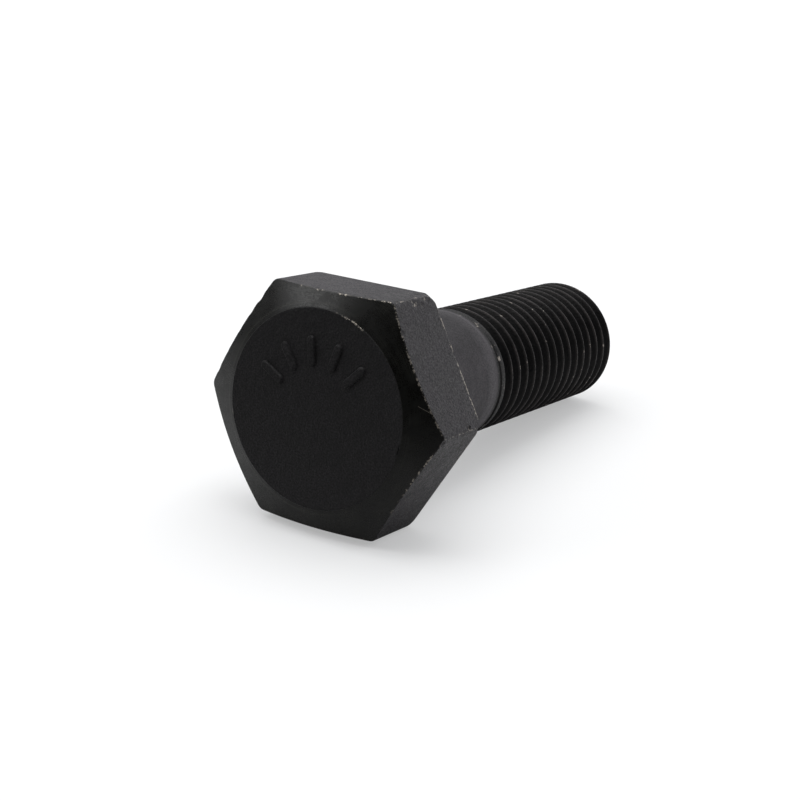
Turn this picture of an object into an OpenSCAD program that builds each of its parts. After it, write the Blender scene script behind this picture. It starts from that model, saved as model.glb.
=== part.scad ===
// Heavy hex structural bolt, M24 x 3 x 75, plain black finish.
// The bolt lies along Y: the head faces -Y, the threaded end points to +Y, and two of the
// head's flats are level. The origin is the centre of the bearing face under the head.
// It is one forging. Each node is one region of it, and the regions meet face to face.

/* [Head] */
// Width across the flats
across_flats = 40; // [38:0.5:42]
// Height of the head, with its washer face
head_height = 15.3; // [13:0.1:18]
// Diameter of the flat circle on top of the head
top_circle_diameter = 33.5; // [30:0.1:37]
// Slope of the top chamfer, measured from the flat top
top_chamfer_angle = 24; // [15:1:30]
// How far each corner is broken at the back of the head
corner_break = 0.8; // [0.2:0.1:1.5]
// Diameter of the washer face
washer_face_diameter = 38.2; // [34:0.1:38.9]
// Thickness of the washer face
washer_face_thickness = 0.5; // [0.4:0.1:0.8]

/* [Shank and thread] */
// Thread size, which is the diameter of the shank too
thread_diameter = 24; // [22:1:26]
// Thread pitch
pitch = 3; // [2.5:0.1:3.5]
// Length under the head, from the bearing face to the tip
bolt_length = 75; // [60:5:100]
// Plain length, from the bearing face to the first trace of thread
plain_length = 24.2; // [15:0.1:35]
// Length over which the last groove fades out towards the shank
run_out = 2.8; // [1.5:0.1:4]
// Radius of the fillet under the head
fillet_radius = 1.2; // [0.5:0.1:1.5]
// Length of the chamfered point
point_length = 1.4; // [1:0.1:3]

/* [Head marks] */
// Number of raised bars on top of the head
mark_count = 5; // [1:1:6]
// Length of a raised bar, along the head's radius
mark_length = 5; // [3:0.5:6]
// Width of a raised bar
mark_width = 1.5; // [0.8:0.1:2]
// Height of a raised bar above the top of the head
mark_height = 0.4; // [0.2:0.1:0.8]
// Radius of the arc through the middles of the bars
mark_arc_radius = 10.2; // [8:0.1:12]
// Angle between neighbouring bars
mark_spacing = 26; // [20:1:45]

/* [Hidden] */
$fn = 96;
head_colour = [0.10, 0.10, 0.105];
face_colour = [0.16, 0.16, 0.165];
shank_colour = [0.14, 0.14, 0.145];
thread_colour = [0.07, 0.07, 0.075];

// Head
hex_height = head_height - washer_face_thickness;
corner_radius = across_flats / sqrt(3);
top_radius = top_circle_diameter / 2;
envelope_margin = 1;
envelope_radius = corner_radius + envelope_margin;
chamfer_drop = (envelope_radius - top_radius) * tan(top_chamfer_angle);
washer_radius = washer_face_diameter / 2;
mark_arc_middle = 98;

// Thread, to the ISO basic profile
crest_radius = thread_diameter / 2;
thread_depth = 0.61343 * pitch;
root_radius = crest_radius - thread_depth;
crest_half_width = pitch / 16;
flank_width = thread_depth * tan(30);
root_half_width = pitch / 2 - crest_half_width - flank_width;
least_flank = 0.05;
trace_offset = 1.6; // from the end of the plain length to the middle of the first trace
start_offset = 5; // from there to the middle of a groove on the +X side
first_full_groove = plain_length + run_out + trace_offset;
groove_at_start = plain_length + start_offset;
point_inset = 0.15;
point_radius = root_radius - point_inset;
columns = 40;
lines_per_turn = 6;
spare_turns = 2;
first_line = lines_per_turn * floor((plain_length - groove_at_start) / pitch - spare_turns);
last_line = lines_per_turn * ceil((bolt_length - groove_at_start) / pitch + spare_turns);
line_count = last_line - first_line + 1;

// Places its children, drawn along Z from zero, along the bolt's axis
module along_bolt(start) {
    translate([0, start, 0])
        rotate([-90, 0, 0])
            children();
}

// Solid of revolution that the hexagon is trimmed by: the chamfered top and the broken corners
module head_envelope() {
    rotate_extrude()
        polygon([
            [0, 0],
            [top_radius, 0],
            [envelope_radius, chamfer_drop],
            [envelope_radius, hex_height - corner_break - envelope_margin],
            [corner_radius - corner_break, hex_height],
            [0, hex_height],
        ]);
}

module hex_head() {
    color(head_colour)
        along_bolt(-head_height)
            intersection() {
                cylinder(r = corner_radius, h = hex_height, $fn = 6);
                head_envelope();
            }
}

module mark_bar() {
    half_run = (mark_length - mark_width) / 2;
    linear_extrude(mark_height) {
        translate([-half_run, -mark_width / 2])
            square([2 * half_run, mark_width]);
        for (side = [-1, 1])
            translate([side * half_run, 0])
                circle(d = mark_width);
    }
}

// Bars along the head's radius, in an arc above the middle of the head
module head_marks() {
    color(face_colour)
        along_bolt(-head_height - mark_height)
            for (i = [0 : mark_count - 1])
                rotate(-mark_arc_middle + mark_spacing * (i - (mark_count - 1) / 2))
                    translate([mark_arc_radius, 0, 0])
                        mark_bar();
}

module washer_face() {
    color(face_colour)
        along_bolt(-washer_face_thickness)
            cylinder(r = washer_radius, h = washer_face_thickness);
}

// Plain shank, with the fillet that joins it to the head
module shank() {
    fillet_points = [
        for (a = [0 : 10 : 90])
            [crest_radius + fillet_radius * (1 - sin(a)), fillet_radius * (1 - cos(a))]
    ];
    color(shank_colour)
        along_bolt(0) {
            cylinder(r = crest_radius, h = plain_length);
            rotate_extrude()
                polygon(concat([[0, 0]], fillet_points, [[0, fillet_radius]]));
        }
}

// How much of the thread's depth is missing at a groove whose middle is at height z
function fade(z) = min(1, max(0, (first_full_groove - z) / run_out));

// Middle of the groove that a thread line belongs to
function groove_middle(i, line) =
    groove_at_start + pitch * (i / columns + floor(line / lines_per_turn));

// A groove has six lines: crest edge, middle of the flank and root edge on its near side, then
// the same on its far side. These say how many steps out of the root a line is, and its side.
function steps_out(place) = place < 3 ? 2 - place : place - 3;
function side_of(place) = place < 3 ? -1 : 1;
function place_of(line) = line - lines_per_turn * floor(line / lines_per_turn);

// Fading lifts the groove out of the bar, which narrows it too
function line_height(i, line) =
    let (middle = groove_middle(i, line), place = place_of(line), lost = fade(middle))
    let (flank = flank_width * (1 - lost) + least_flank * lost)
    middle + side_of(place) * (root_half_width + flank * steps_out(place) / 2);

// Radius of the chamfered point at height z
function point_limit(z) =
    point_radius + (bolt_length - z) / point_length * (crest_radius - point_radius);

function line_radius(i, line) =
    let (depth = thread_depth * (1 - steps_out(place_of(line)) / 2))
    let (kept = 1 - fade(groove_middle(i, line)))
    min(crest_radius - depth * kept, point_limit(line_height(i, line)));

function ring_point(i, r, z) = [r * cos(360 * i / columns), r * sin(360 * i / columns), z];

// Number of the point on a line at a column. Past either end it is a point of the end's ring,
// and one turn further round the same line is six lines higher.
function point_number(i, line) =
    i == columns ? point_number(0, line + lines_per_turn)
    : line_height(i, line) <= plain_length ? i
    : line_height(i, line) >= bolt_length ? columns + i
    : 2 * columns + i * line_count + line - first_line;

// Full-depth right-hand thread with a run-out at the shank and a chamfered point
module thread() {
    points = concat(
        [for (i = [0 : columns - 1]) ring_point(i, crest_radius, plain_length)],
        [for (i = [0 : columns - 1]) ring_point(i, point_radius, bolt_length)],
        [for (i = [0 : columns - 1], line = [first_line : last_line])
            ring_point(i, line_radius(i, line), line_height(i, line))]
    );
    corners = [
        for (i = [0 : columns - 1], line = [first_line : last_line - lines_per_turn - 1])
            [point_number(i, line), point_number(i, line + 1),
                point_number(i + 1, line + 1), point_number(i + 1, line)]
    ];
    faces = concat(
        [[for (i = [0 : columns - 1]) i]],
        [[for (i = [columns - 1 : -1 : 0]) columns + i]],
        [for (c = corners) if (c[0] != c[1] && c[1] != c[2] && c[2] != c[0]) [c[0], c[1], c[2]]],
        [for (c = corners) if (c[0] != c[2] && c[2] != c[3] && c[3] != c[0]) [c[0], c[2], c[3]]]
    );
    color(thread_colour)
        along_bolt(0)
            polyhedron(points, faces, convexity = 20);
}

hex_head();
head_marks();
washer_face();
shank();
thread();
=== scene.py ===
"""Heavy hex structural bolt, M24 x 3 x 75, in plain black finish.

The bolt lies along Y with its head towards -Y. All sizes are in metres, and places come from
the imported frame. One forging is shown as five pieces, one for each region of the frame.
"""

import math

import bmesh
import bpy
from mathutils import Matrix, Vector


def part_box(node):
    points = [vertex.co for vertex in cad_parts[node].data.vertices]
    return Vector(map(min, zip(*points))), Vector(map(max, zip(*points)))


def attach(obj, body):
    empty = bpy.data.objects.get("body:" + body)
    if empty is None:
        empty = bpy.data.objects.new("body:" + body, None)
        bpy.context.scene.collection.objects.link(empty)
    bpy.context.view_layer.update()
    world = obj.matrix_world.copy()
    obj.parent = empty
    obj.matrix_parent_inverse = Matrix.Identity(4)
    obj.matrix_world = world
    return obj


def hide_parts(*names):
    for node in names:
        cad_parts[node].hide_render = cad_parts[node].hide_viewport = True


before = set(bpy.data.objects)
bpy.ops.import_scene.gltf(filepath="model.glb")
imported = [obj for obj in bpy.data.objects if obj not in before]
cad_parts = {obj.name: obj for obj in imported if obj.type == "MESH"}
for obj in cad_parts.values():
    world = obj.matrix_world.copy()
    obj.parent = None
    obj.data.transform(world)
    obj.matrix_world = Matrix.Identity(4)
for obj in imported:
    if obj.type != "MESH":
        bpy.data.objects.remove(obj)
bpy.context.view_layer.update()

MM = 0.001
FACETS = 96
FINE_FACETS = 192

head_low, head_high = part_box("hex_head")
marks_low, marks_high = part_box("head_marks")
washer_low, washer_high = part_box("washer_face")
shank_low, shank_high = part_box("shank")
thread_low, thread_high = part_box("thread")

# Head: the hexagon's flats, the chamfered top and the rounded back corners
TOP = head_low.y
BACK = head_high.y
FLAT = head_high.z
CORNER = FLAT / math.cos(math.radians(30))
CIRCLE = 16.75 * MM
CIRCLE_SHIFT = 0.5 * MM
CHAMFER = math.radians(24)
ENVELOPE_MARGIN = 1 * MM
ROUND_STEPS = 8
FRONT_WEAR_ROUND = 0.16 * MM
LONG_EDGE_ROUND = 0.7 * MM
BACK_EDGE_ROUND = 0.45 * MM
CORNER_ROUND_OUT = 1.4 * MM
CORNER_ROUND_ALONG = 2.8 * MM
SHARP_ANGLE = math.radians(14)
HEAD_SMOOTHING = math.radians(50)

# Raised bars on the top of the head
BAR_LENGTH = 5 * MM
BAR_WIDTH = 1.5 * MM
BAR_COUNT = 5
BAR_SPACING = math.radians(26)
BAR_MIDDLE = math.radians(98)
BAR_RADIUS = 10.2 * MM
BAR_END_ROUND = 0.49 * BAR_WIDTH
BAR_TOP_LENGTH = 0.95
BAR_TOP_WIDTH = 0.84
BAR_RIM_ROUND = 0.16 * MM
BAR_SMOOTHING = math.radians(60)

# Washer face
WASHER_RIM_ROUND = 0.14 * MM
WASHER_SMOOTHING = math.radians(40)

# Shank and thread
RADIUS = thread_high.x
FILLET = shank_high.x - RADIUS
THREAD_START = thread_low.y
TIP = thread_high.y
POINT_LENGTH = 1.4 * MM
POINT_RADIUS = 10.1 * MM
TIP_RIM = 2.6 * MM
TIP_HOLLOW = 0.45 * MM
TIP_FLAT_SHARE = 0.8
PITCH = 3 * MM
GROOVE_DEPTH = 0.61343 * PITCH
ROOT_ROUND = 0.144 * PITCH
GROOVE_HALF = PITCH / 2 - PITCH / 16
FLANK_SLOPE = math.tan(math.radians(30))
FULL_GROOVE = 29.05 * MM
FULL_GROOVE_TURN = math.radians(18)
FULL_GROOVE_LEAD = 16.5  # how many facets further round the cutter starts
FADE_STEPS = 90
FADE_OVERSHOOT = 1.03
TURNS = 17
ROD_SMOOTHING = math.radians(30)
THREAD_SMOOTHING = math.radians(32)

SEAM = 0.0005 * MM
HAIR = 0.01 * MM


# ---------------------------------------------------------------- camera, light and floor

CAMERA_PLACE = Vector((0.14144, -0.22694, 0.06836))
CAMERA_AIM = Vector((0.00716, -0.00061, 0.00117))
CAMERA_ROLL = math.radians(5.31)
CAMERA_LENS = 73.04
CAMERA_NEAR = 0.01
CAMERA_FAR = 20
LIE_ANGLE = math.radians(6.4)
FLOOR_RADIUS = 1.1
FLOOR_MIDDLE = (-0.42, 0.72, 0)
FLOOR_FACETS = 128
PAPER = (0.445, 0.447, 0.449, 1)
PAPER_DIM = (0.14, 0.14, 0.14, 1)
PAPER_HALF = (0.80, 0.80, 0.80, 1)
PAPER_GLOW = (0.992, 0.996, 1.0, 1)
PAPER_GLOW_NEAR = 0.40
PAPER_GLOW_FAR = 0.85
DIM_TO_HALF = (-0.10, 0.06)
NEAR_TO_FAR = (0.18, 0.60)
ROOM_COLOUR = (0.98, 0.985, 1.0, 1)
ROOM_DIM = 0.03
# Glows of the room: towards where, where each starts and is full, and its strength
ROOM_GLOWS = (
    ((0.65, 0.72, 0.16), 0.0, 0.9, 0.92),
    ((-0.10, 0.10, 1.0), 0.2, 0.95, 0.60),
    ((-1.0, 0.0, 0.1), 0.1, 1.0, 0.24),
)
# Softboxes: name, place, aim, width, height and watts
SOFTBOXES = (
    ("overhead", (-0.14, 0.0, 0.70), (0.02, 0.02, 0), 0.8, 0.8, 5.5),
    ("upper left", (-0.50, -0.46, 0.37), (0, 0, 0), 0.44, 0.18, 0.95),
)


def place_camera():
    """The bolt's head is near the camera, and the camera leans a little to the left."""
    data = bpy.data.cameras.new("camera")
    data.lens = CAMERA_LENS
    data.clip_start = CAMERA_NEAR
    data.clip_end = CAMERA_FAR
    camera = bpy.data.objects.new("camera", data)
    bpy.context.scene.collection.objects.link(camera)
    look = (CAMERA_AIM - CAMERA_PLACE).to_track_quat("-Z", "Y")
    lean = Matrix.Rotation(CAMERA_ROLL, 4, "Z")
    camera.matrix_world = Matrix.Translation(CAMERA_PLACE) @ look.to_matrix().to_4x4() @ lean
    bpy.context.scene.camera = camera


def place_softbox(name, place, aim, width, height, watts):
    data = bpy.data.lights.new(name, "AREA")
    data.shape = "RECTANGLE"
    data.size = width
    data.size_y = height
    data.energy = watts
    lamp = bpy.data.objects.new(name, data)
    bpy.context.scene.collection.objects.link(lamp)
    lamp.location = place
    lamp.rotation_euler = (Vector(aim) - Vector(place)).to_track_quat("-Z", "Y").to_euler()


# ---------------------------------------------------------------- shader helpers

def add(tree, kind, inputs=None, **settings):
    """Adds a node, with its settings, and fills or joins its inputs."""
    node = tree.nodes.new(kind)
    for name, value in settings.items():
        setattr(node, name, value)
    for name, value in (inputs or {}).items():
        if isinstance(value, bpy.types.NodeSocket):
            tree.links.new(value, node.inputs[name])
        else:
            node.inputs[name].default_value = value
    return node


def maths(tree, operation, first, second=0.0, third=0.0):
    inputs = {0: first, 1: second, 2: third}
    return add(tree, "ShaderNodeMath", inputs, operation=operation).outputs[0]


def both(tree, first, second):
    """Where two masks are on together."""
    return maths(tree, "MULTIPLY", first, second)


def either(tree, first, second):
    """Where either of two masks is on."""
    return maths(tree, "MAXIMUM", first, second)


def distance_to(tree, value, place):
    return maths(tree, "ABSOLUTE", maths(tree, "SUBTRACT", value, place))


def distance_from_axis(tree, across, up):
    across_squared = maths(tree, "POWER", across, 2.0)
    up_squared = maths(tree, "POWER", up, 2.0)
    return maths(tree, "SQRT", maths(tree, "ADD", across_squared, up_squared))


def smooth_range(tree, value, low, high, to_low=0.0, to_high=1.0):
    inputs = {"Value": value, "From Min": low, "From Max": high,
              "To Min": to_low, "To Max": to_high}
    node = add(tree, "ShaderNodeMapRange", inputs, interpolation_type="SMOOTHSTEP")
    return node.outputs["Result"]


def noise(tree, place, scale, detail=3.0, roughness=0.55):
    inputs = {"Vector": place, "Scale": scale, "Detail": detail, "Roughness": roughness}
    return add(tree, "ShaderNodeTexNoise", inputs).outputs["Fac"]


def mix_colour(tree, share, first, second):
    node = tree.nodes.new("ShaderNodeMix")
    node.data_type = "RGBA"
    for number, value in ((0, share), (6, first), (7, second)):
        socket = node.inputs[number]
        if isinstance(value, bpy.types.NodeSocket):
            tree.links.new(value, socket)
        else:
            socket.default_value = value
    return node.outputs[2]


def glow(tree, direction, toward, low, high, strength):
    """Light that is strongest from the side called toward, and gone at the low end."""
    facing = add(tree, "ShaderNodeVectorMath",
                 {0: direction, 1: Vector(toward).normalized()}, operation="DOT_PRODUCT")
    return smooth_range(tree, facing.outputs["Value"], low, high, 0.0, strength)


def light_room():
    """A dim room, brighter behind and above the bolt, with white paper as the camera sees it."""
    world = bpy.data.worlds.new("studio")
    world.use_nodes = True
    bpy.context.scene.world = world
    tree = world.node_tree
    tree.nodes.clear()
    direction = add(tree, "ShaderNodeTexCoord").outputs["Generated"]
    brightness = ROOM_DIM
    for toward, low, high, strength in ROOM_GLOWS:
        shine = glow(tree, direction, toward, low, high, strength)
        brightness = maths(tree, "ADD", shine, brightness)
    room = add(tree, "ShaderNodeBackground", {"Color": ROOM_COLOUR, "Strength": brightness})
    paper = add(tree, "ShaderNodeBackground", {"Color": (1, 1, 1, 1), "Strength": 1.0})
    seen = add(tree, "ShaderNodeLightPath").outputs["Is Camera Ray"]
    shown = add(tree, "ShaderNodeMixShader", {0: seen, 1: room.outputs[0], 2: paper.outputs[0]})
    add(tree, "ShaderNodeOutputWorld", {"Surface": shown.outputs[0]})


def floor_material():
    """White paper. It is darker in reflections than to the eye, and clear from below."""
    material = bpy.data.materials.new("white_paper")
    material.use_nodes = True
    tree = material.node_tree
    tree.nodes.clear()
    path = add(tree, "ShaderNodeLightPath")
    seen = path.outputs["Is Camera Ray"]
    place = add(tree, "ShaderNodeTexCoord").outputs["Object"]
    parts = add(tree, "ShaderNodeSeparateXYZ", {0: place}).outputs
    dim = mix_colour(tree, smooth_range(tree, parts[1], *DIM_TO_HALF), PAPER_DIM, PAPER_HALF)
    paper = add(tree, "ShaderNodeBsdfDiffuse", {"Color": mix_colour(tree, seen, dim, PAPER)})
    away = add(tree, "ShaderNodeVectorMath", {0: place}, operation="LENGTH").outputs["Value"]
    strength = smooth_range(tree, away, *NEAR_TO_FAR, PAPER_GLOW_NEAR, PAPER_GLOW_FAR)
    lit = add(tree, "ShaderNodeEmission",
              {"Color": PAPER_GLOW, "Strength": maths(tree, "MULTIPLY", seen, strength)})
    sheet = add(tree, "ShaderNodeAddShader", {0: paper.outputs[0], 1: lit.outputs[0]})
    clear = add(tree, "ShaderNodeBsdfTransparent")
    under = add(tree, "ShaderNodeNewGeometry").outputs["Backfacing"]
    shown = add(tree, "ShaderNodeMixShader", {0: under, 1: sheet.outputs[0], 2: clear.outputs[0]})
    add(tree, "ShaderNodeOutputMaterial", {"Surface": shown.outputs[0]})
    return material


def lay_floor():
    """The bolt rests on the back edge of its head and on the tip, so the floor leans under it."""
    touch = Vector((0, BACK, -FLAT))
    bpy.ops.object.select_all(action="DESELECT")
    bpy.ops.mesh.primitive_circle_add(vertices=FLOOR_FACETS, radius=FLOOR_RADIUS,
                                      fill_type="NGON", location=FLOOR_MIDDLE)
    floor = bpy.context.object
    floor.name = "floor"
    lean = Matrix.Rotation(LIE_ANGLE, 4, "X")
    floor.matrix_world = Matrix.Translation(touch) @ lean @ floor.matrix_world
    settle(floor)
    floor.data.materials.append(floor_material())


def light_studio():
    light_room()
    for softbox in SOFTBOXES:
        place_softbox(*softbox)


# ---------------------------------------------------------------- modelling helpers

def choose(piece):
    bpy.ops.object.select_all(action="DESELECT")
    piece.select_set(True)
    bpy.context.view_layer.objects.active = piece


def start_edit(piece, kind="VERT"):
    choose(piece)
    bpy.ops.object.mode_set(mode="EDIT")
    bpy.ops.mesh.select_mode(type=kind)


def end_edit():
    bpy.ops.object.mode_set(mode="OBJECT")


def pick(piece, kind, wanted):
    """Selects only the vertices, edges or faces for which wanted says yes."""
    bpy.ops.mesh.select_mode(type=kind)
    bpy.ops.mesh.select_all(action="DESELECT")
    mesh = bmesh.from_edit_mesh(piece.data)
    parts = {"VERT": mesh.verts, "EDGE": mesh.edges, "FACE": mesh.faces}[kind]
    for part in parts:
        if wanted(part):
            part.select_set(True)
    bmesh.update_edit_mesh(piece.data)


def settle(piece):
    """Puts the piece's place into its mesh, and its object at the origin."""
    choose(piece)
    bpy.ops.object.transform_apply(location=True, rotation=True, scale=True)


def apply_modifier(piece, name):
    choose(piece)
    bpy.ops.object.modifier_apply(modifier=name)


def cut(piece, tool, operation):
    """Cuts piece with tool, and throws the tool away."""
    cutter = piece.modifiers.new("cut", "BOOLEAN")
    cutter.operation = operation
    cutter.solver = "EXACT"
    cutter.object = tool
    apply_modifier(piece, "cut")
    bpy.data.objects.remove(tool)


def extrude_along(distance):
    bpy.ops.mesh.extrude_region_move(TRANSFORM_OT_translate={"value": (0, distance, 0)})


def resize_about_axis(factor, along):
    bpy.ops.transform.resize(value=(factor, 1, factor), center_override=(0, along, 0))


def clean_up(piece, angle):
    """Closes seams, turns every face outwards, and smooths what is gentler than angle."""
    start_edit(piece)
    bpy.ops.mesh.select_all(action="SELECT")
    bpy.ops.mesh.remove_doubles(threshold=SEAM)
    bpy.ops.mesh.normals_make_consistent(inside=False)
    end_edit()
    choose(piece)
    bpy.ops.object.shade_smooth_by_angle(angle=angle)


def even_shading(piece):
    """Lets the big faces keep their own normals, so that small rounds do not shade them."""
    weigh = piece.modifiers.new("weigh", "WEIGHTED_NORMAL")
    weigh.keep_sharp = True
    weigh.weight = 100
    apply_modifier(piece, "weigh")


def hand_over(piece, material, slot, *nodes):
    piece.data.materials.clear()
    piece.data.materials.append(material)
    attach(piece, "root")
    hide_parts(*nodes)


# ---------------------------------------------------------------- head

def head_envelope():
    """What the hexagon is trimmed by: a turned top chamfer, a little off centre, and round
    back corners."""
    wide = CORNER + ENVELOPE_MARGIN
    drop = (wide - CIRCLE) * math.tan(CHAMFER)
    bpy.ops.object.select_all(action="DESELECT")
    bpy.ops.mesh.primitive_cone_add(vertices=FINE_FACETS, radius1=wide, radius2=CIRCLE,
                                    depth=drop, location=(0, TOP + drop / 2, CIRCLE_SHIFT),
                                    rotation=(math.pi / 2, 0, 0))
    envelope = bpy.context.object
    settle(envelope)
    start_edit(envelope)
    along = TOP + drop
    pick(envelope, "FACE", lambda face: face.calc_center_median().y > along - 0.1 * MM
         and abs(face.normal.y) > 0.99)
    start = BACK - CORNER_ROUND_ALONG
    bpy.ops.mesh.extrude_region_move(
        TRANSFORM_OT_translate={"value": (0, start - along, -CIRCLE_SHIFT)})
    resize_about_axis(CORNER / wide, start)
    radius = CORNER
    for step in range(1, ROUND_STEPS + 1):
        turn = math.pi / 2 * step / ROUND_STEPS
        new_along = BACK - CORNER_ROUND_ALONG * (1 - math.sin(turn))
        new_radius = CORNER - CORNER_ROUND_OUT * (1 - math.cos(turn))
        if step == ROUND_STEPS:
            new_along = BACK + 0.5 * MM
        extrude_along(new_along - start)
        resize_about_axis(new_radius / radius, new_along)
        start = new_along
        radius = new_radius
    end_edit()
    return envelope


# Dents: the flat they are on, how far along it, how far down the head, size and depth, in mm
DENTS = (
    (150, -7.4, 0.1, 2.6, 0.30),
    (150, -4.4, 0.2, 3.0, 0.20),
    (150, -0.6, 0.1, 3.2, 0.13),
    (150, 4.4, 0.1, 4.0, 0.11),
    (150, 8.3, 0.2, 4.2, 0.22),
    (210, 3.0, 0.2, 2.2, 0.14),
    (30, 6.5, 0.1, 1.2, 0.20),
    (30, 1.2, 14.6, 1.3, 0.22),
    (30, -6.3, 14.7, 1.2, 0.18),
    (30, 10.8, 8.4, 3.4, 0.22),
    (30, 10.2, 10.4, 1.6, 0.14),
    (30, 11.0, 12.2, 2.6, 0.22),
    (90, -10.9, 9.8, 3.2, 0.20),
    (90, -10.2, 12.0, 2.0, 0.14),
    (90, -11.2, 13.4, 2.8, 0.24),
    (90, 2.6, 0.1, 1.8, 0.14),
    (330, 10.9, 0.2, 1.6, 0.24),
    (330, -1.5, 0.1, 1.6, 0.12),
    (30, -11.0, 11.0, 0.5, 0.34),
)


def sink_dent(head, flat, sideways, down, size, depth):
    """A round tool sinks a little into a flat or an edge of the head."""
    turn = math.radians(flat)
    outward = Vector((math.cos(turn), 0, math.sin(turn)))
    aside = Vector((-math.sin(turn), 0, math.cos(turn)))
    radius = math.hypot(FLAT, sideways * MM)
    front = (radius - CIRCLE) * math.tan(CHAMFER) if down < 1 else 0
    place = outward * (FLAT + (size - depth) * MM) + aside * sideways * MM
    place.y = TOP + front + down * MM
    bpy.ops.object.select_all(action="DESELECT")
    bpy.ops.mesh.primitive_ico_sphere_add(subdivisions=4, radius=size * MM, location=place)
    tool = bpy.context.object
    settle(tool)
    cut(head, tool, "DIFFERENCE")


def is_long_edge(edge):
    one, other = edge.verts[0].co, edge.verts[1].co
    return abs(one.y - other.y) > 5 * MM


def is_sharp(edge):
    return len(edge.link_faces) == 2 and edge.calc_face_angle() > SHARP_ANGLE


def model_head(material):
    bpy.ops.object.select_all(action="DESELECT")
    bpy.ops.mesh.primitive_cylinder_add(vertices=6, radius=CORNER, depth=BACK - TOP,
                                        location=(0, (TOP + BACK) / 2, 0),
                                        rotation=(math.pi / 2, math.pi / 6, 0))
    head = bpy.context.object
    head.name = "forged_head"
    settle(head)
    start_edit(head)
    pick(head, "EDGE", is_long_edge)
    bpy.ops.mesh.bevel(offset=LONG_EDGE_ROUND, segments=4, affect="EDGES")
    pick(head, "EDGE", lambda edge: is_sharp(edge)
         and min(v.co.y for v in edge.verts) > BACK - HAIR)
    bpy.ops.mesh.bevel(offset=BACK_EDGE_ROUND, segments=4, affect="EDGES")
    end_edit()
    cut(head, head_envelope(), "INTERSECT")
    start_edit(head)
    pick(head, "EDGE", lambda edge: is_sharp(edge)
         and max(v.co.y for v in edge.verts) < BACK - 4 * MM)
    bpy.ops.mesh.bevel(offset=FRONT_WEAR_ROUND, segments=2, affect="EDGES",
                       clamp_overlap=False)
    end_edit()
    clean_up(head, HEAD_SMOOTHING)
    start_edit(head)
    bpy.ops.mesh.select_all(action="SELECT")
    bpy.ops.mesh.quads_convert_to_tris()
    end_edit()
    for dent in DENTS:
        sink_dent(head, *dent)
    clean_up(head, HEAD_SMOOTHING)
    even_shading(head)
    hand_over(head, material, "forged_black", "hex_head")


def model_bar():
    """One raised bar with round ends, sloping sides and a soft top rim."""
    depth = marks_high.y - marks_low.y
    bpy.ops.object.select_all(action="DESELECT")
    bpy.ops.mesh.primitive_cube_add(size=1, location=(BAR_RADIUS, marks_low.y + depth / 2, 0),
                                    scale=(BAR_LENGTH, depth, BAR_WIDTH))
    bar = bpy.context.object
    settle(bar)
    start_edit(bar)
    pick(bar, "EDGE", lambda edge: abs(edge.verts[0].co.y - edge.verts[1].co.y) > 0.1 * MM)
    bpy.ops.mesh.bevel(offset=BAR_END_ROUND, segments=8, affect="EDGES")
    pick(bar, "FACE", lambda face: face.normal.y < -0.9)
    bpy.ops.transform.resize(value=(BAR_TOP_LENGTH, 1, BAR_TOP_WIDTH),
                             center_override=(BAR_RADIUS, marks_low.y, 0))
    pick(bar, "EDGE", lambda edge: max(v.co.y for v in edge.verts) < marks_low.y + HAIR)
    bpy.ops.mesh.bevel(offset=BAR_RIM_ROUND, segments=3, affect="EDGES")
    end_edit()
    return bar


def model_bars(material):
    """The bars stand in an arc above the middle of the head, each along the head's radius."""
    first = model_bar()
    bars = []
    for number in range(BAR_COUNT):
        turn = BAR_MIDDLE + BAR_SPACING * (number - (BAR_COUNT - 1) / 2)
        bar = first.copy()
        bar.data = first.data.copy()
        bpy.context.scene.collection.objects.link(bar)
        bar.rotation_euler = (0, -turn, 0)
        settle(bar)
        bars.append(bar)
    bpy.data.objects.remove(first)
    bpy.ops.object.select_all(action="DESELECT")
    for bar in bars:
        bar.select_set(True)
    bpy.context.view_layer.objects.active = bars[0]
    bpy.ops.object.join()
    joined = bars[0]
    joined.name = "raised_bars"
    clean_up(joined, BAR_SMOOTHING)
    hand_over(joined, material, "forged_black", "head_marks")


# ---------------------------------------------------------------- washer face and shank

def model_washer_ring(material):
    bpy.ops.object.select_all(action="DESELECT")
    bpy.ops.mesh.primitive_cylinder_add(vertices=FINE_FACETS, radius=washer_high.x,
                                        depth=washer_high.y - washer_low.y,
                                        location=(0, (washer_low.y + washer_high.y) / 2, 0),
                                        rotation=(math.pi / 2, 0, 0))
    ring = bpy.context.object
    ring.name = "washer_ring"
    settle(ring)
    start_edit(ring)
    pick(ring, "EDGE", lambda edge: min(v.co.y for v in edge.verts) > washer_high.y - HAIR)
    bpy.ops.mesh.bevel(offset=WASHER_RIM_ROUND, segments=3, affect="EDGES")
    end_edit()
    clean_up(ring, WASHER_SMOOTHING)
    even_shading(ring)
    hand_over(ring, material, "turned_black", "washer_face")


def start_rod(name, radius, along):
    """A disc across the bolt's axis, ready to be extruded towards the tip."""
    bpy.ops.object.select_all(action="DESELECT")
    bpy.ops.mesh.primitive_circle_add(vertices=FACETS, radius=radius, fill_type="NGON",
                                      location=(0, along, 0), rotation=(math.pi / 2, 0, 0))
    rod = bpy.context.object
    rod.name = name
    settle(rod)
    start_edit(rod, "FACE")
    bpy.ops.mesh.select_all(action="SELECT")
    return rod


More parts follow.
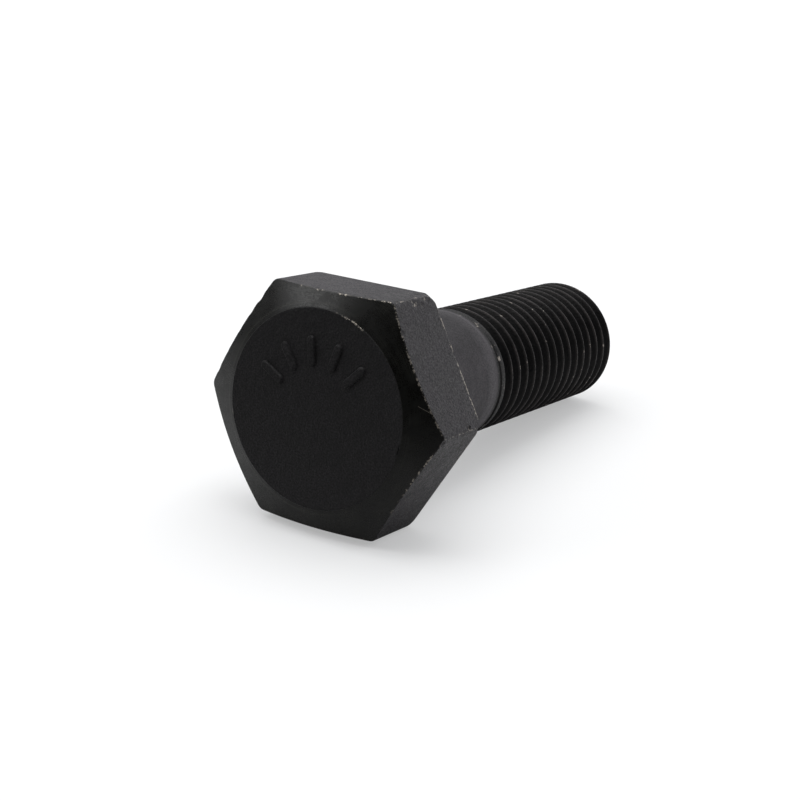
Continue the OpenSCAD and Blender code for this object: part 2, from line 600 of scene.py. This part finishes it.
def model_shank(material):
    """Plain shank with the fillet that joins it to the head."""
    shank = start_rod("plain_shank", RADIUS + FILLET, shank_low.y)
    along = shank_low.y
    radius = RADIUS + FILLET
    for step in range(1, ROUND_STEPS + 1):
        turn = math.pi / 2 * step / ROUND_STEPS
        new_along = shank_low.y + FILLET * (1 - math.cos(turn))
        new_radius = RADIUS + FILLET * (1 - math.sin(turn))
        extrude_along(new_along - along)
        resize_about_axis(new_radius / radius, new_along)
        along = new_along
        radius = new_radius
    extrude_along(shank_high.y - along)
    end_edit()
    clean_up(shank, ROD_SMOOTHING)
    hand_over(shank, material, "turned_black", "shank")


# ---------------------------------------------------------------- thread

def groove_profile():
    """Half of the groove's outline, from the root out to the rounded crest, as places across
    the groove and out from the axis."""
    middle = RADIUS - GROOVE_HALF / FLANK_SLOPE + 2 * ROOT_ROUND
    points = []
    for degrees in (0, 20, 40, 60):
        turn = math.radians(degrees)
        points.append((ROOT_ROUND * math.sin(turn), middle - ROOT_ROUND * math.cos(turn)))
    points.append((GROOVE_HALF - 0.10 * MM, RADIUS - 0.10 * MM / FLANK_SLOPE))
    points.append((GROOVE_HALF - 0.02 * MM, RADIUS - 0.055 * MM))
    points.append((GROOVE_HALF + 0.06 * MM, RADIUS - 0.012 * MM))
    points.append((PITCH / 2 - 0.02 * MM, RADIUS + 0.03 * MM))
    points.append((PITCH / 2 - 0.02 * MM, RADIUS + 0.25 * MM))
    return points


def draw_outline():
    """Draws the groove's outline point by point, in the plane of the axis and +X."""
    half = groove_profile()
    outline = [(-across, out) for across, out in reversed(half[1:])] + half
    bpy.ops.object.select_all(action="DESELECT")
    bpy.ops.mesh.primitive_plane_add(size=0.1 * MM, location=(outline[0][1], outline[0][0], 0))
    cutter = bpy.context.object
    settle(cutter)
    start_edit(cutter)
    bpy.ops.mesh.select_all(action="SELECT")
    bpy.ops.mesh.merge(type="CENTER")
    for (across, out), (new_across, new_out) in zip(outline, outline[1:]):
        move = (new_out - out, new_across - across, 0)
        bpy.ops.mesh.extrude_vertices_move(TRANSFORM_OT_translate={"value": move})
    bpy.ops.mesh.select_all(action="SELECT")
    bpy.ops.mesh.edge_face_add()
    bpy.ops.mesh.delete(type="ONLY_FACE")
    end_edit()
    return cutter


def groove_cutter():
    """A long screw-shaped tool. Towards the head it climbs out of the bar within one turn."""
    cutter = draw_outline()
    turns = cutter.modifiers.new("turns", "SCREW")
    turns.axis = "Y"
    turns.angle = math.tau
    turns.screw_offset = PITCH
    turns.iterations = TURNS
    turns.steps = FACETS
    turns.render_steps = FACETS
    turns.use_smooth_shade = False
    apply_modifier(cutter, "turns")
    start_edit(cutter)
    pick(cutter, "EDGE", lambda edge: all(abs(v.co.z) < 1e-7 and v.co.x > 0
         and abs(v.co.y) < 0.6 * PITCH for v in edge.verts))
    step = math.tau / FACETS
    for number in range(FADE_STEPS):
        bpy.ops.mesh.extrude_region_move(TRANSFORM_OT_translate={"value": (0, 0, 0)})
        bpy.ops.transform.rotate(value=step, orient_axis="Y", center_override=(0, 0, 0))
        turn = step * (number + 1)
        climb = GROOVE_DEPTH * FADE_OVERSHOOT / FADE_STEPS
        bpy.ops.transform.translate(
            value=(climb * math.cos(turn), -PITCH / FACETS, climb * math.sin(turn)))
    bpy.ops.mesh.edge_face_add()
    pick(cutter, "EDGE", lambda edge: len(edge.link_faces) == 1)
    bpy.ops.mesh.edge_face_add()
    end_edit()
    turn = (round(FULL_GROOVE_TURN / step) + FULL_GROOVE_LEAD) * step
    cutter.rotation_euler = (0, -turn, 0)
    cutter.location = (0, FULL_GROOVE - PITCH * (turn - FULL_GROOVE_TURN) / math.tau, 0)
    settle(cutter)
    clean_up(cutter, ROD_SMOOTHING)
    return cutter


def model_thread(material):
    """A bar with a pointed end, cut by the groove."""
    thread = start_rod("rolled_thread", RADIUS, THREAD_START)
    extrude_along(TIP - POINT_LENGTH - THREAD_START)
    extrude_along(POINT_LENGTH)
    resize_about_axis(POINT_RADIUS / RADIUS, TIP)
    bpy.ops.mesh.inset(thickness=TIP_RIM)
    extrude_along(-TIP_HOLLOW)
    resize_about_axis(TIP_FLAT_SHARE, TIP)
    end_edit()
    clean_up(thread, ROD_SMOOTHING)
    cut(thread, groove_cutter(), "DIFFERENCE")
    clean_up(thread, THREAD_SMOOTHING)
    hand_over(thread, material, "thread_black", "thread")


# ---------------------------------------------------------------- finishes shared by the pieces

def start_group(name, inputs, outputs):
    """A shader group with named inputs, given as name and starting value, and named outputs."""
    tree = bpy.data.node_groups.new(name, "ShaderNodeTree")
    for label, start in inputs:
        kind = "NodeSocketVector" if start is None else "NodeSocketFloat"
        socket = tree.interface.new_socket(label, in_out="INPUT", socket_type=kind)
        if start is not None:
            socket.default_value = start
    for label in outputs:
        tree.interface.new_socket(label, in_out="OUTPUT", socket_type="NodeSocketFloat")
    given = tree.nodes.new("NodeGroupInput").outputs
    result = tree.nodes.new("NodeGroupOutput").inputs
    return tree, given, result


def use_group(tree, group, **inputs):
    node = tree.nodes.new("ShaderNodeGroup")
    node.node_tree = group
    for label, value in inputs.items():
        socket = node.inputs[label.replace("_", " ").capitalize()]
        if isinstance(value, bpy.types.NodeSocket):
            tree.links.new(value, socket)
        else:
            socket.default_value = value
    return node.outputs


# Noise scales, in lumps a metre
CLOUDS = 300.0
SPECKLE = 3400.0
FINE_RELIEF = 2900.0
LUMPY_RELIEF = 700.0
WORN_RUNS = 420.0
WORN_NIBBLES = 2600.0
LATHE_RINGS = 5200.0
LATHE_FADING = 200.0
PIT_CELLS = 190.0
BRUISES = 1500.0
MOTTLE = 900.0
SATIN = 6500.0
CREST_PATCHES = 190.0
NICKS = 620.0


def make_scale_grain():
    """Black oxide close up: slow clouds of tone, a fine speckle, and a fine uneven surface."""
    tree, given, result = start_group("scale grain", [("Place", None)],
                                      ["Tone", "Speckle", "Height"])
    clouds = noise(tree, given["Place"], CLOUDS, 5.0, 0.65)
    speckle = noise(tree, given["Place"], SPECKLE, 1.0, 0.5)
    fine = noise(tree, given["Place"], FINE_RELIEF, 2.0, 0.6)
    lumps = noise(tree, given["Place"], LUMPY_RELIEF, 3.0, 0.5)
    tree.links.new(smooth_range(tree, clouds, 0.36, 0.64), result["Tone"])
    tree.links.new(smooth_range(tree, speckle, 0.34, 0.66), result["Speckle"])
    height = maths(tree, "MULTIPLY_ADD", fine, 0.7, maths(tree, "MULTIPLY", lumps, 0.8))
    tree.links.new(height, result["Height"])
    return tree


def make_worn_edge():
    """Where an edge is worn bright: near the edge, in broken runs of uneven width."""
    tree, given, result = start_group(
        "worn edge", [("Place", None), ("Distance", 0.0), ("Width", 0.2 * MM), ("Share", 0.5)],
        ["Worn"])
    runs = noise(tree, given["Place"], WORN_RUNS, 5.0, 0.7)
    nibbles = noise(tree, given["Place"], WORN_NIBBLES, 3.0, 0.6)
    needed = maths(tree, "SUBTRACT", 0.80, maths(tree, "MULTIPLY", given["Share"], 0.6))
    kept = smooth_range(tree, maths(tree, "SUBTRACT", runs, needed), -0.04, 0.08)
    spread = smooth_range(tree, nibbles, 0.35, 0.72, 0.1, 2.3)
    reach = maths(tree, "MULTIPLY", given["Width"], spread)
    near = maths(tree, "LESS_THAN", given["Distance"], reach)
    tree.links.new(both(tree, kept, near), result["Worn"])
    return tree


def make_turned_lines():
    """Fine rings that a lathe leaves, across the given radius or length."""
    tree, given, result = start_group("turned lines", [("Across", 0.0), ("Place", None)],
                                      ["Height"])
    line = add(tree, "ShaderNodeCombineXYZ", {"X": given["Across"]}).outputs[0]
    rings = noise(tree, line, LATHE_RINGS, 2.0, 0.7)
    fading = smooth_range(tree, noise(tree, given["Place"], LATHE_FADING, 2.0, 0.5),
                          0.3, 0.7, 0.4, 1.0)
    tree.links.new(maths(tree, "MULTIPLY", rings, fading), result["Height"])
    return tree


def make_pits():
    """A few small dark pits."""
    tree, given, result = start_group("pits", [("Place", None)], ["Pit"])
    cells = add(tree, "ShaderNodeTexVoronoi", {"Vector": given["Place"], "Scale": PIT_CELLS})
    radius = smooth_range(tree, cells.outputs["Color"], 0.70, 0.95, 0.0, 0.055)
    pit = maths(tree, "LESS_THAN", cells.outputs["Distance"], radius)
    tree.links.new(pit, result["Pit"])
    return tree


def start_finish(name):
    material = bpy.data.materials.new(name)
    material.use_nodes = True
    tree = material.node_tree
    shader = tree.nodes["Principled BSDF"]
    place = add(tree, "ShaderNodeTexCoord").outputs["Object"]
    return material, tree, shader, place


def give_relief(tree, shader, height, distance):
    relief = add(tree, "ShaderNodeBump", {"Height": height, "Distance": distance})
    tree.links.new(relief.outputs["Normal"], shader.inputs["Normal"])


# ---------------------------------------------------------------- finish of the head

BLACK = (0.0235, 0.0215, 0.0240, 1)
BLACK_LIGHT = (0.0370, 0.0340, 0.0378, 1)
TURNED_BLACK = (0.0030, 0.0030, 0.0024, 1)
TURNED_PALE = (0.0160, 0.0160, 0.0135, 1)
WORN_STEEL = (0.26, 0.235, 0.205, 1)
# Near black for pits and speckle, also used to paint shade on the head and the shank.
PIT_AND_SHADE_BLACK = (0.001, 0.001, 0.001, 1)
SHANK_BLACK = (0.038, 0.0353, 0.0388, 1)
SHANK_BLACK_LIGHT = (0.050, 0.0465, 0.0510, 1)
SHANK_BAND = (0.078, 0.0735, 0.0790, 1)
GROOVE_BLACK = (0.0012, 0.0011, 0.0013, 1)
GROOVE_OILY = (0.0030, 0.0027, 0.0030, 1)
CREST_BROWN_AND_HIGHLIGHT = (0.026, 0.0226, 0.0218, 1)
NICK_STEEL = (0.30, 0.27, 0.24, 1)

FORGED_SPECULAR = 0.27
TURNED_SPECULAR = 0.16
THREAD_SPECULAR = 0.13
FORGED_RELIEF = 0.20 * MM
TURNED_RELIEF = 0.10 * MM

WEAR_WIDTH = 0.12 * MM
BACK_WEAR_WIDTH = 0.20 * MM
BACK_WEAR_LINE = BACK - 0.3 * MM
PALE_RING = 0.85 * MM

# Hairline scratch on the chamfer: where it starts, its length, its half width and its slope
SCRATCH_ACROSS = 18.6 * MM
SCRATCH_UP = 4.9 * MM
SCRATCH_LENGTH = 2.7 * MM
SCRATCH_HALF = 0.035 * MM
SCRATCH_SLOPE = math.radians(-24)
SCRATCH_STRENGTH = 0.6


def depth_inside(tree, across, up):
    """How far a place is inside the nearest flat of the hexagon."""
    sizes = []
    for degrees in (30, 90, 150):
        turn = math.radians(degrees)
        outward = maths(tree, "MULTIPLY_ADD", up, math.sin(turn),
                        maths(tree, "MULTIPLY", across, math.cos(turn)))
        sizes.append(maths(tree, "ABSOLUTE", outward))
    most = maths(tree, "MAXIMUM", maths(tree, "MAXIMUM", sizes[0], sizes[1]), sizes[2])
    return maths(tree, "ABSOLUTE", maths(tree, "SUBTRACT", FLAT, most))


def measure_head(tree, place):
    """Where a place on the head is: across, along and up, its radius, how far it is inside the
    nearest flat, beyond the circle and below the front, and if it is on the turned chamfer."""
    parts = add(tree, "ShaderNodeSeparateXYZ", {0: place}).outputs
    at = {"across": parts[0], "along": parts[1], "up": parts[2]}
    lifted = maths(tree, "SUBTRACT", at["up"], CIRCLE_SHIFT)
    at["radius"] = distance_from_axis(tree, at["across"], lifted)
    at["inside"] = depth_inside(tree, at["across"], at["up"])
    at["beyond"] = maths(tree, "SUBTRACT", at["radius"], CIRCLE)
    outside = maths(tree, "MAXIMUM", at["beyond"], 0.0)
    front = maths(tree, "MULTIPLY_ADD", outside, math.tan(CHAMFER), TOP)
    at["below"] = maths(tree, "SUBTRACT", at["along"], front)
    at["turned"] = both(tree, smooth_range(tree, at["beyond"], -0.02 * MM, 0.06 * MM),
                        smooth_range(tree, at["below"], 0.20 * MM, 0.05 * MM))
    return at


def hairline_scratch(tree, at):
    """One thin bright line across the chamfer, at the right-hand side."""
    from_across = maths(tree, "SUBTRACT", at["across"], SCRATCH_ACROSS)
    from_up = maths(tree, "SUBTRACT", at["up"], SCRATCH_UP)
    run = maths(tree, "MULTIPLY_ADD", from_across, math.cos(SCRATCH_SLOPE),
                maths(tree, "MULTIPLY", from_up, math.sin(SCRATCH_SLOPE)))
    off = maths(tree, "MULTIPLY_ADD", from_across, -math.sin(SCRATCH_SLOPE),
                maths(tree, "MULTIPLY", from_up, math.cos(SCRATCH_SLOPE)))
    thin = maths(tree, "LESS_THAN", maths(tree, "ABSOLUTE", off), SCRATCH_HALF)
    reach = maths(tree, "LESS_THAN", distance_to(tree, run, SCRATCH_LENGTH / 2),
                  SCRATCH_LENGTH / 2)
    drawn = both(tree, both(tree, thin, reach), at["turned"])
    return maths(tree, "MULTIPLY", drawn, SCRATCH_STRENGTH)


def front_wear(tree, place, at):
    """Wear where the flats meet the chamfer: most of it on the right, less of it low down."""
    share = both(tree, smooth_range(tree, at["across"], -24 * MM, 24 * MM, 0.22, 0.76),
                 smooth_range(tree, at["up"], -14 * MM, -2 * MM, 0.62, 1.0))
    distance = maths(tree, "ADD", at["inside"], maths(tree, "ABSOLUTE", at["below"]))
    edge = use_group(tree, worn_edge, place=place, distance=distance, width=WEAR_WIDTH,
                     share=share)
    return edge["Worn"]


def back_wear(tree, place, at):
    """Wear along the back edge, most of it at the right-hand corner."""
    share = smooth_range(tree, at["across"], 17 * MM, 22 * MM, 0.55, 1.0)
    distance = maths(tree, "ADD", at["inside"], distance_to(tree, at["along"], BACK_WEAR_LINE))
    edge = use_group(tree, worn_edge, place=place, distance=distance, width=BACK_WEAR_WIDTH,
                     share=share)
    return edge["Worn"]


def rim_wear(tree, place, at):
    """Wear on the rim of the top circle, most of it right of the highest point."""
    stretch = both(tree, smooth_range(tree, at["across"], 0.0, 1.5 * MM),
                   smooth_range(tree, at["across"], 10 * MM, 7.5 * MM))
    stretch = both(tree, stretch, maths(tree, "GREATER_THAN", at["up"], 0.0))
    share = maths(tree, "MULTIPLY_ADD", stretch, 0.30, 0.22)
    distance = maths(tree, "ADD", maths(tree, "ABSOLUTE", at["beyond"]),
                     maths(tree, "ABSOLUTE", at["below"]))
    edge = use_group(tree, worn_edge, place=place, distance=distance, width=WEAR_WIDTH,
                     share=share)
    return edge["Worn"]


def bruises(tree, place, at):
    """Broken bright metal inside the dents on the flats."""
    dented = both(tree, smooth_range(tree, at["inside"], 0.10 * MM, 0.18 * MM),
                  maths(tree, "GREATER_THAN", at["below"], 0.5 * MM))
    dented = both(tree, dented, maths(tree, "LESS_THAN", at["along"], BACK - 1.2 * MM))
    bright = smooth_range(tree, noise(tree, place, BRUISES, 3.0, 0.7), 0.50, 0.62, 0.0, 0.8)
    return both(tree, dented, bright)


def head_wear(tree, place, at):
    worn = either(tree, front_wear(tree, place, at), back_wear(tree, place, at))
    worn = either(tree, worn, rim_wear(tree, place, at))
    worn = either(tree, worn, bruises(tree, place, at))
    return either(tree, worn, hairline_scratch(tree, at))


def scale_colour(tree, place, at, grain):
    """Speckled black scale, mottled on the upper flat, with painted shade darkening the right part
    of the upper flat and the top of the head.
    """
    colour = mix_colour(tree, grain["Tone"], BLACK, BLACK_LIGHT)
    colour = mix_colour(tree, maths(tree, "MULTIPLY", grain["Speckle"], 0.6), colour, PIT_AND_SHADE_BLACK)
    upper_flat = smooth_range(tree, at["up"], FLAT - 0.8 * MM, FLAT - 0.3 * MM)
    mottle = smooth_range(tree, noise(tree, place, MOTTLE, 4.0, 0.65), 0.42, 0.60, 0.0, 0.60)
    colour = mix_colour(tree, both(tree, upper_flat, mottle), colour, SHANK_BLACK_LIGHT)
    # Painted shade: the right part of the upper flat is painted darker.
    painted_shade_right = smooth_range(tree, at["across"], -5 * MM, 8 * MM, 0.0, 0.20)
    colour = mix_colour(tree, both(tree, upper_flat, painted_shade_right), colour, PIT_AND_SHADE_BLACK)
    # Painted shade: the top face inside the circle, and the bars on it, are painted much darker.
    top = both(tree, maths(tree, "LESS_THAN", at["beyond"], 0.0),
               maths(tree, "LESS_THAN", at["below"], 0.08 * MM))
    return mix_colour(tree, maths(tree, "MULTIPLY", top, 0.68), colour, PIT_AND_SHADE_BLACK)


def chamfer_colour(tree, at, rings):
    """Turned black, with lathe rings and one pale ring near the circle, on the left."""
    ring = distance_to(tree, at["beyond"], PALE_RING)
    ring_side = smooth_range(tree, at["across"], -1 * MM, 9 * MM, 0.9, 0.05)
    pale = both(tree, ring_side, smooth_range(tree, ring, 0.20 * MM, 0.08 * MM))
    pale = either(tree, pale, smooth_range(tree, rings["Height"], 0.35, 0.6, 0.0, 0.5))
    return mix_colour(tree, pale, TURNED_BLACK, TURNED_PALE)


def head_roughness(tree, place, at, grain, rings, forged, worn):
    satin = smooth_range(tree, noise(tree, place, SATIN, 1.0, 0.5), 0.3, 0.7)
    satin = both(tree, satin, maths(tree, "MULTIPLY", at["turned"], 0.7))
    fine = maths(tree, "MULTIPLY_ADD", grain["Speckle"], forged, satin)
    rough = maths(tree, "MULTIPLY_ADD", fine, 0.16, 0.44)
    rough = maths(tree, "MULTIPLY_ADD", grain["Tone"], 0.12, rough)
    rough = maths(tree, "MULTIPLY_ADD", both(tree, rings["Height"], at["turned"]), 0.08, rough)
    rough = maths(tree, "MULTIPLY_ADD", at["turned"], -0.28, rough)
    return maths(tree, "MULTIPLY_ADD", worn, -0.12, rough)


def make_forged_black():
    """Matt scale on the forged faces, a turned chamfer, and bright metal on the worn edges."""
    material, tree, shader, place = start_finish("forged_black")
    at = measure_head(tree, place)
    grain = use_group(tree, scale_grain, place=place)
    rings = use_group(tree, turned_lines, across=at["radius"], place=place)
    holes = use_group(tree, pits, place=place)
    worn = head_wear(tree, place, at)
    forged = maths(tree, "SUBTRACT", 1.0, maths(tree, "MULTIPLY", at["turned"], 0.95))

    colour = mix_colour(tree, at["turned"], scale_colour(tree, place, at, grain),
                        chamfer_colour(tree, at, rings))
    colour = mix_colour(tree, holes["Pit"], colour, PIT_AND_SHADE_BLACK)
    colour = mix_colour(tree, worn, colour, WORN_STEEL)
    tree.links.new(colour, shader.inputs["Base Color"])
    tree.links.new(maths(tree, "MULTIPLY", worn, 0.6), shader.inputs["Metallic"])
    rough = head_roughness(tree, place, at, grain, rings, forged, worn)
    tree.links.new(rough, shader.inputs["Roughness"])
    shader.inputs["Specular IOR Level"].default_value = FORGED_SPECULAR

    height = maths(tree, "MULTIPLY", grain["Height"], forged)
    height = maths(tree, "MULTIPLY_ADD", both(tree, rings["Height"], at["turned"]), 0.12, height)
    height = maths(tree, "MULTIPLY_ADD", holes["Pit"], -0.6, height)
    give_relief(tree, shader, height, FORGED_RELIEF)
    return material


# ---------------------------------------------------------------- finishes of the shank and thread

def make_turned_black():
    """Satin black on the washer face and the plain shank, paler beside the thread, with painted
    shade darkening it towards the top.
    """
    material, tree, shader, place = start_finish("turned_black")
    parts = add(tree, "ShaderNodeSeparateXYZ", {0: place}).outputs
    along, up = parts[1], parts[2]
    grain = use_group(tree, scale_grain, place=place)
    lines = use_group(tree, turned_lines, across=along, place=place)
    tone = mix_colour(tree, grain["Tone"], SHANK_BLACK, SHANK_BLACK_LIGHT)
    band = smooth_range(tree, along, THREAD_START - 3.4 * MM, THREAD_START - 0.6 * MM, 0.0, 0.8)
    tone = mix_colour(tree, band, tone, SHANK_BAND)
    # Painted shade: the shank, and the washer face, are painted darker towards the top.
    tone = mix_colour(tree, smooth_range(tree, up, 3 * MM, 11 * MM, 0.0, 0.40), tone, PIT_AND_SHADE_BLACK)
    tone = mix_colour(tree, maths(tree, "MULTIPLY", grain["Speckle"], 0.3), tone, PIT_AND_SHADE_BLACK)
    tree.links.new(tone, shader.inputs["Base Color"])
    rough = maths(tree, "MULTIPLY_ADD", grain["Speckle"], 0.08, 0.62)
    tree.links.new(rough, shader.inputs["Roughness"])
    shader.inputs["Specular IOR Level"].default_value = TURNED_SPECULAR
    height = maths(tree, "MULTIPLY_ADD", lines["Height"], 0.15, grain["Height"])
    give_relief(tree, shader, height, TURNED_RELIEF)
    return material


def crest_browning_and_highlight(tree, place, along, radius):
    """How brown a crest is, in patches: partly worn colour and partly a painted highlight. The
    first crest beside the shank stays black.
    """
    patches = smooth_range(tree, noise(tree, place, CREST_PATCHES, 4.0, 0.6), 0.38, 0.62, 0.25, 1.0)
    past_first = smooth_range(tree, along, THREAD_START + 3.2 * MM, THREAD_START + 4.6 * MM,
                              0.1, 1.0)
    on_crest = smooth_range(tree, radius, RADIUS - 0.40 * MM, RADIUS - 0.08 * MM)
    return both(tree, both(tree, patches, past_first), on_crest)


def crest_nicks(tree, place, radius, plain):
    """Small bright nicks on the crests, and none on the plain start of the bar."""
    nicks = smooth_range(tree, noise(tree, place, NICKS, 3.0, 0.6), 0.65, 0.70, 0.0, 0.8)
    nicks = both(tree, nicks,
                 smooth_range(tree, radius, RADIUS - 0.12 * MM, RADIUS - 0.04 * MM))
    return both(tree, nicks, maths(tree, "SUBTRACT", 1.0, plain))


def make_thread_black():
    """Oily black in the grooves, and thin browner crests, partly worn and partly a painted
    highlight, with a few bright nicks.
    """
    material, tree, shader, place = start_finish("thread_black")
    parts = add(tree, "ShaderNodeSeparateXYZ", {0: place}).outputs
    across, along, up = parts[0], parts[1], parts[2]
    radius = distance_from_axis(tree, across, up)
    crest = crest_browning_and_highlight(tree, place, along, radius)
    outside = smooth_range(tree, radius, RADIUS - 0.06 * MM, RADIUS - 0.02 * MM)
    start = smooth_range(tree, along, THREAD_START + 1.5 * MM, THREAD_START + 0.3 * MM)
    plain = both(tree, outside, start)
    nick = crest_nicks(tree, place, radius, plain)
    grain = use_group(tree, scale_grain, place=place)
    colour = mix_colour(tree, grain["Tone"], GROOVE_BLACK, GROOVE_OILY)
    # The crests are painted lighter: partly worn colour, partly a painted highlight.
    colour = mix_colour(tree, crest, colour, CREST_BROWN_AND_HIGHLIGHT)
    colour = mix_colour(tree, maths(tree, "MULTIPLY", grain["Speckle"], 0.4), colour, PIT_AND_SHADE_BLACK)
    colour = mix_colour(tree, plain, colour, SHANK_BLACK_LIGHT)
    colour = mix_colour(tree, nick, colour, NICK_STEEL)
    tree.links.new(colour, shader.inputs["Base Color"])
    tree.links.new(maths(tree, "MULTIPLY", nick, 0.7), shader.inputs["Metallic"])
    rough = maths(tree, "MULTIPLY_ADD", grain["Speckle"], 0.12, 0.46)
    tree.links.new(rough, shader.inputs["Roughness"])
    shader.inputs["Specular IOR Level"].default_value = THREAD_SPECULAR
    give_relief(tree, shader, grain["Height"], TURNED_RELIEF)
    return material


# ---------------------------------------------------------------- building

bpy.context.scene.view_settings.view_transform = "Standard"
place_camera()
light_studio()
lay_floor()
scale_grain = make_scale_grain()
worn_edge = make_worn_edge()
turned_lines = make_turned_lines()
pits = make_pits()
forged_black = make_forged_black()
turned_black = make_turned_black()
thread_black = make_thread_black()
model_head(forged_black)
model_bars(forged_black)
model_washer_ring(turned_black)
model_shank(turned_black)
model_thread(thread_black)
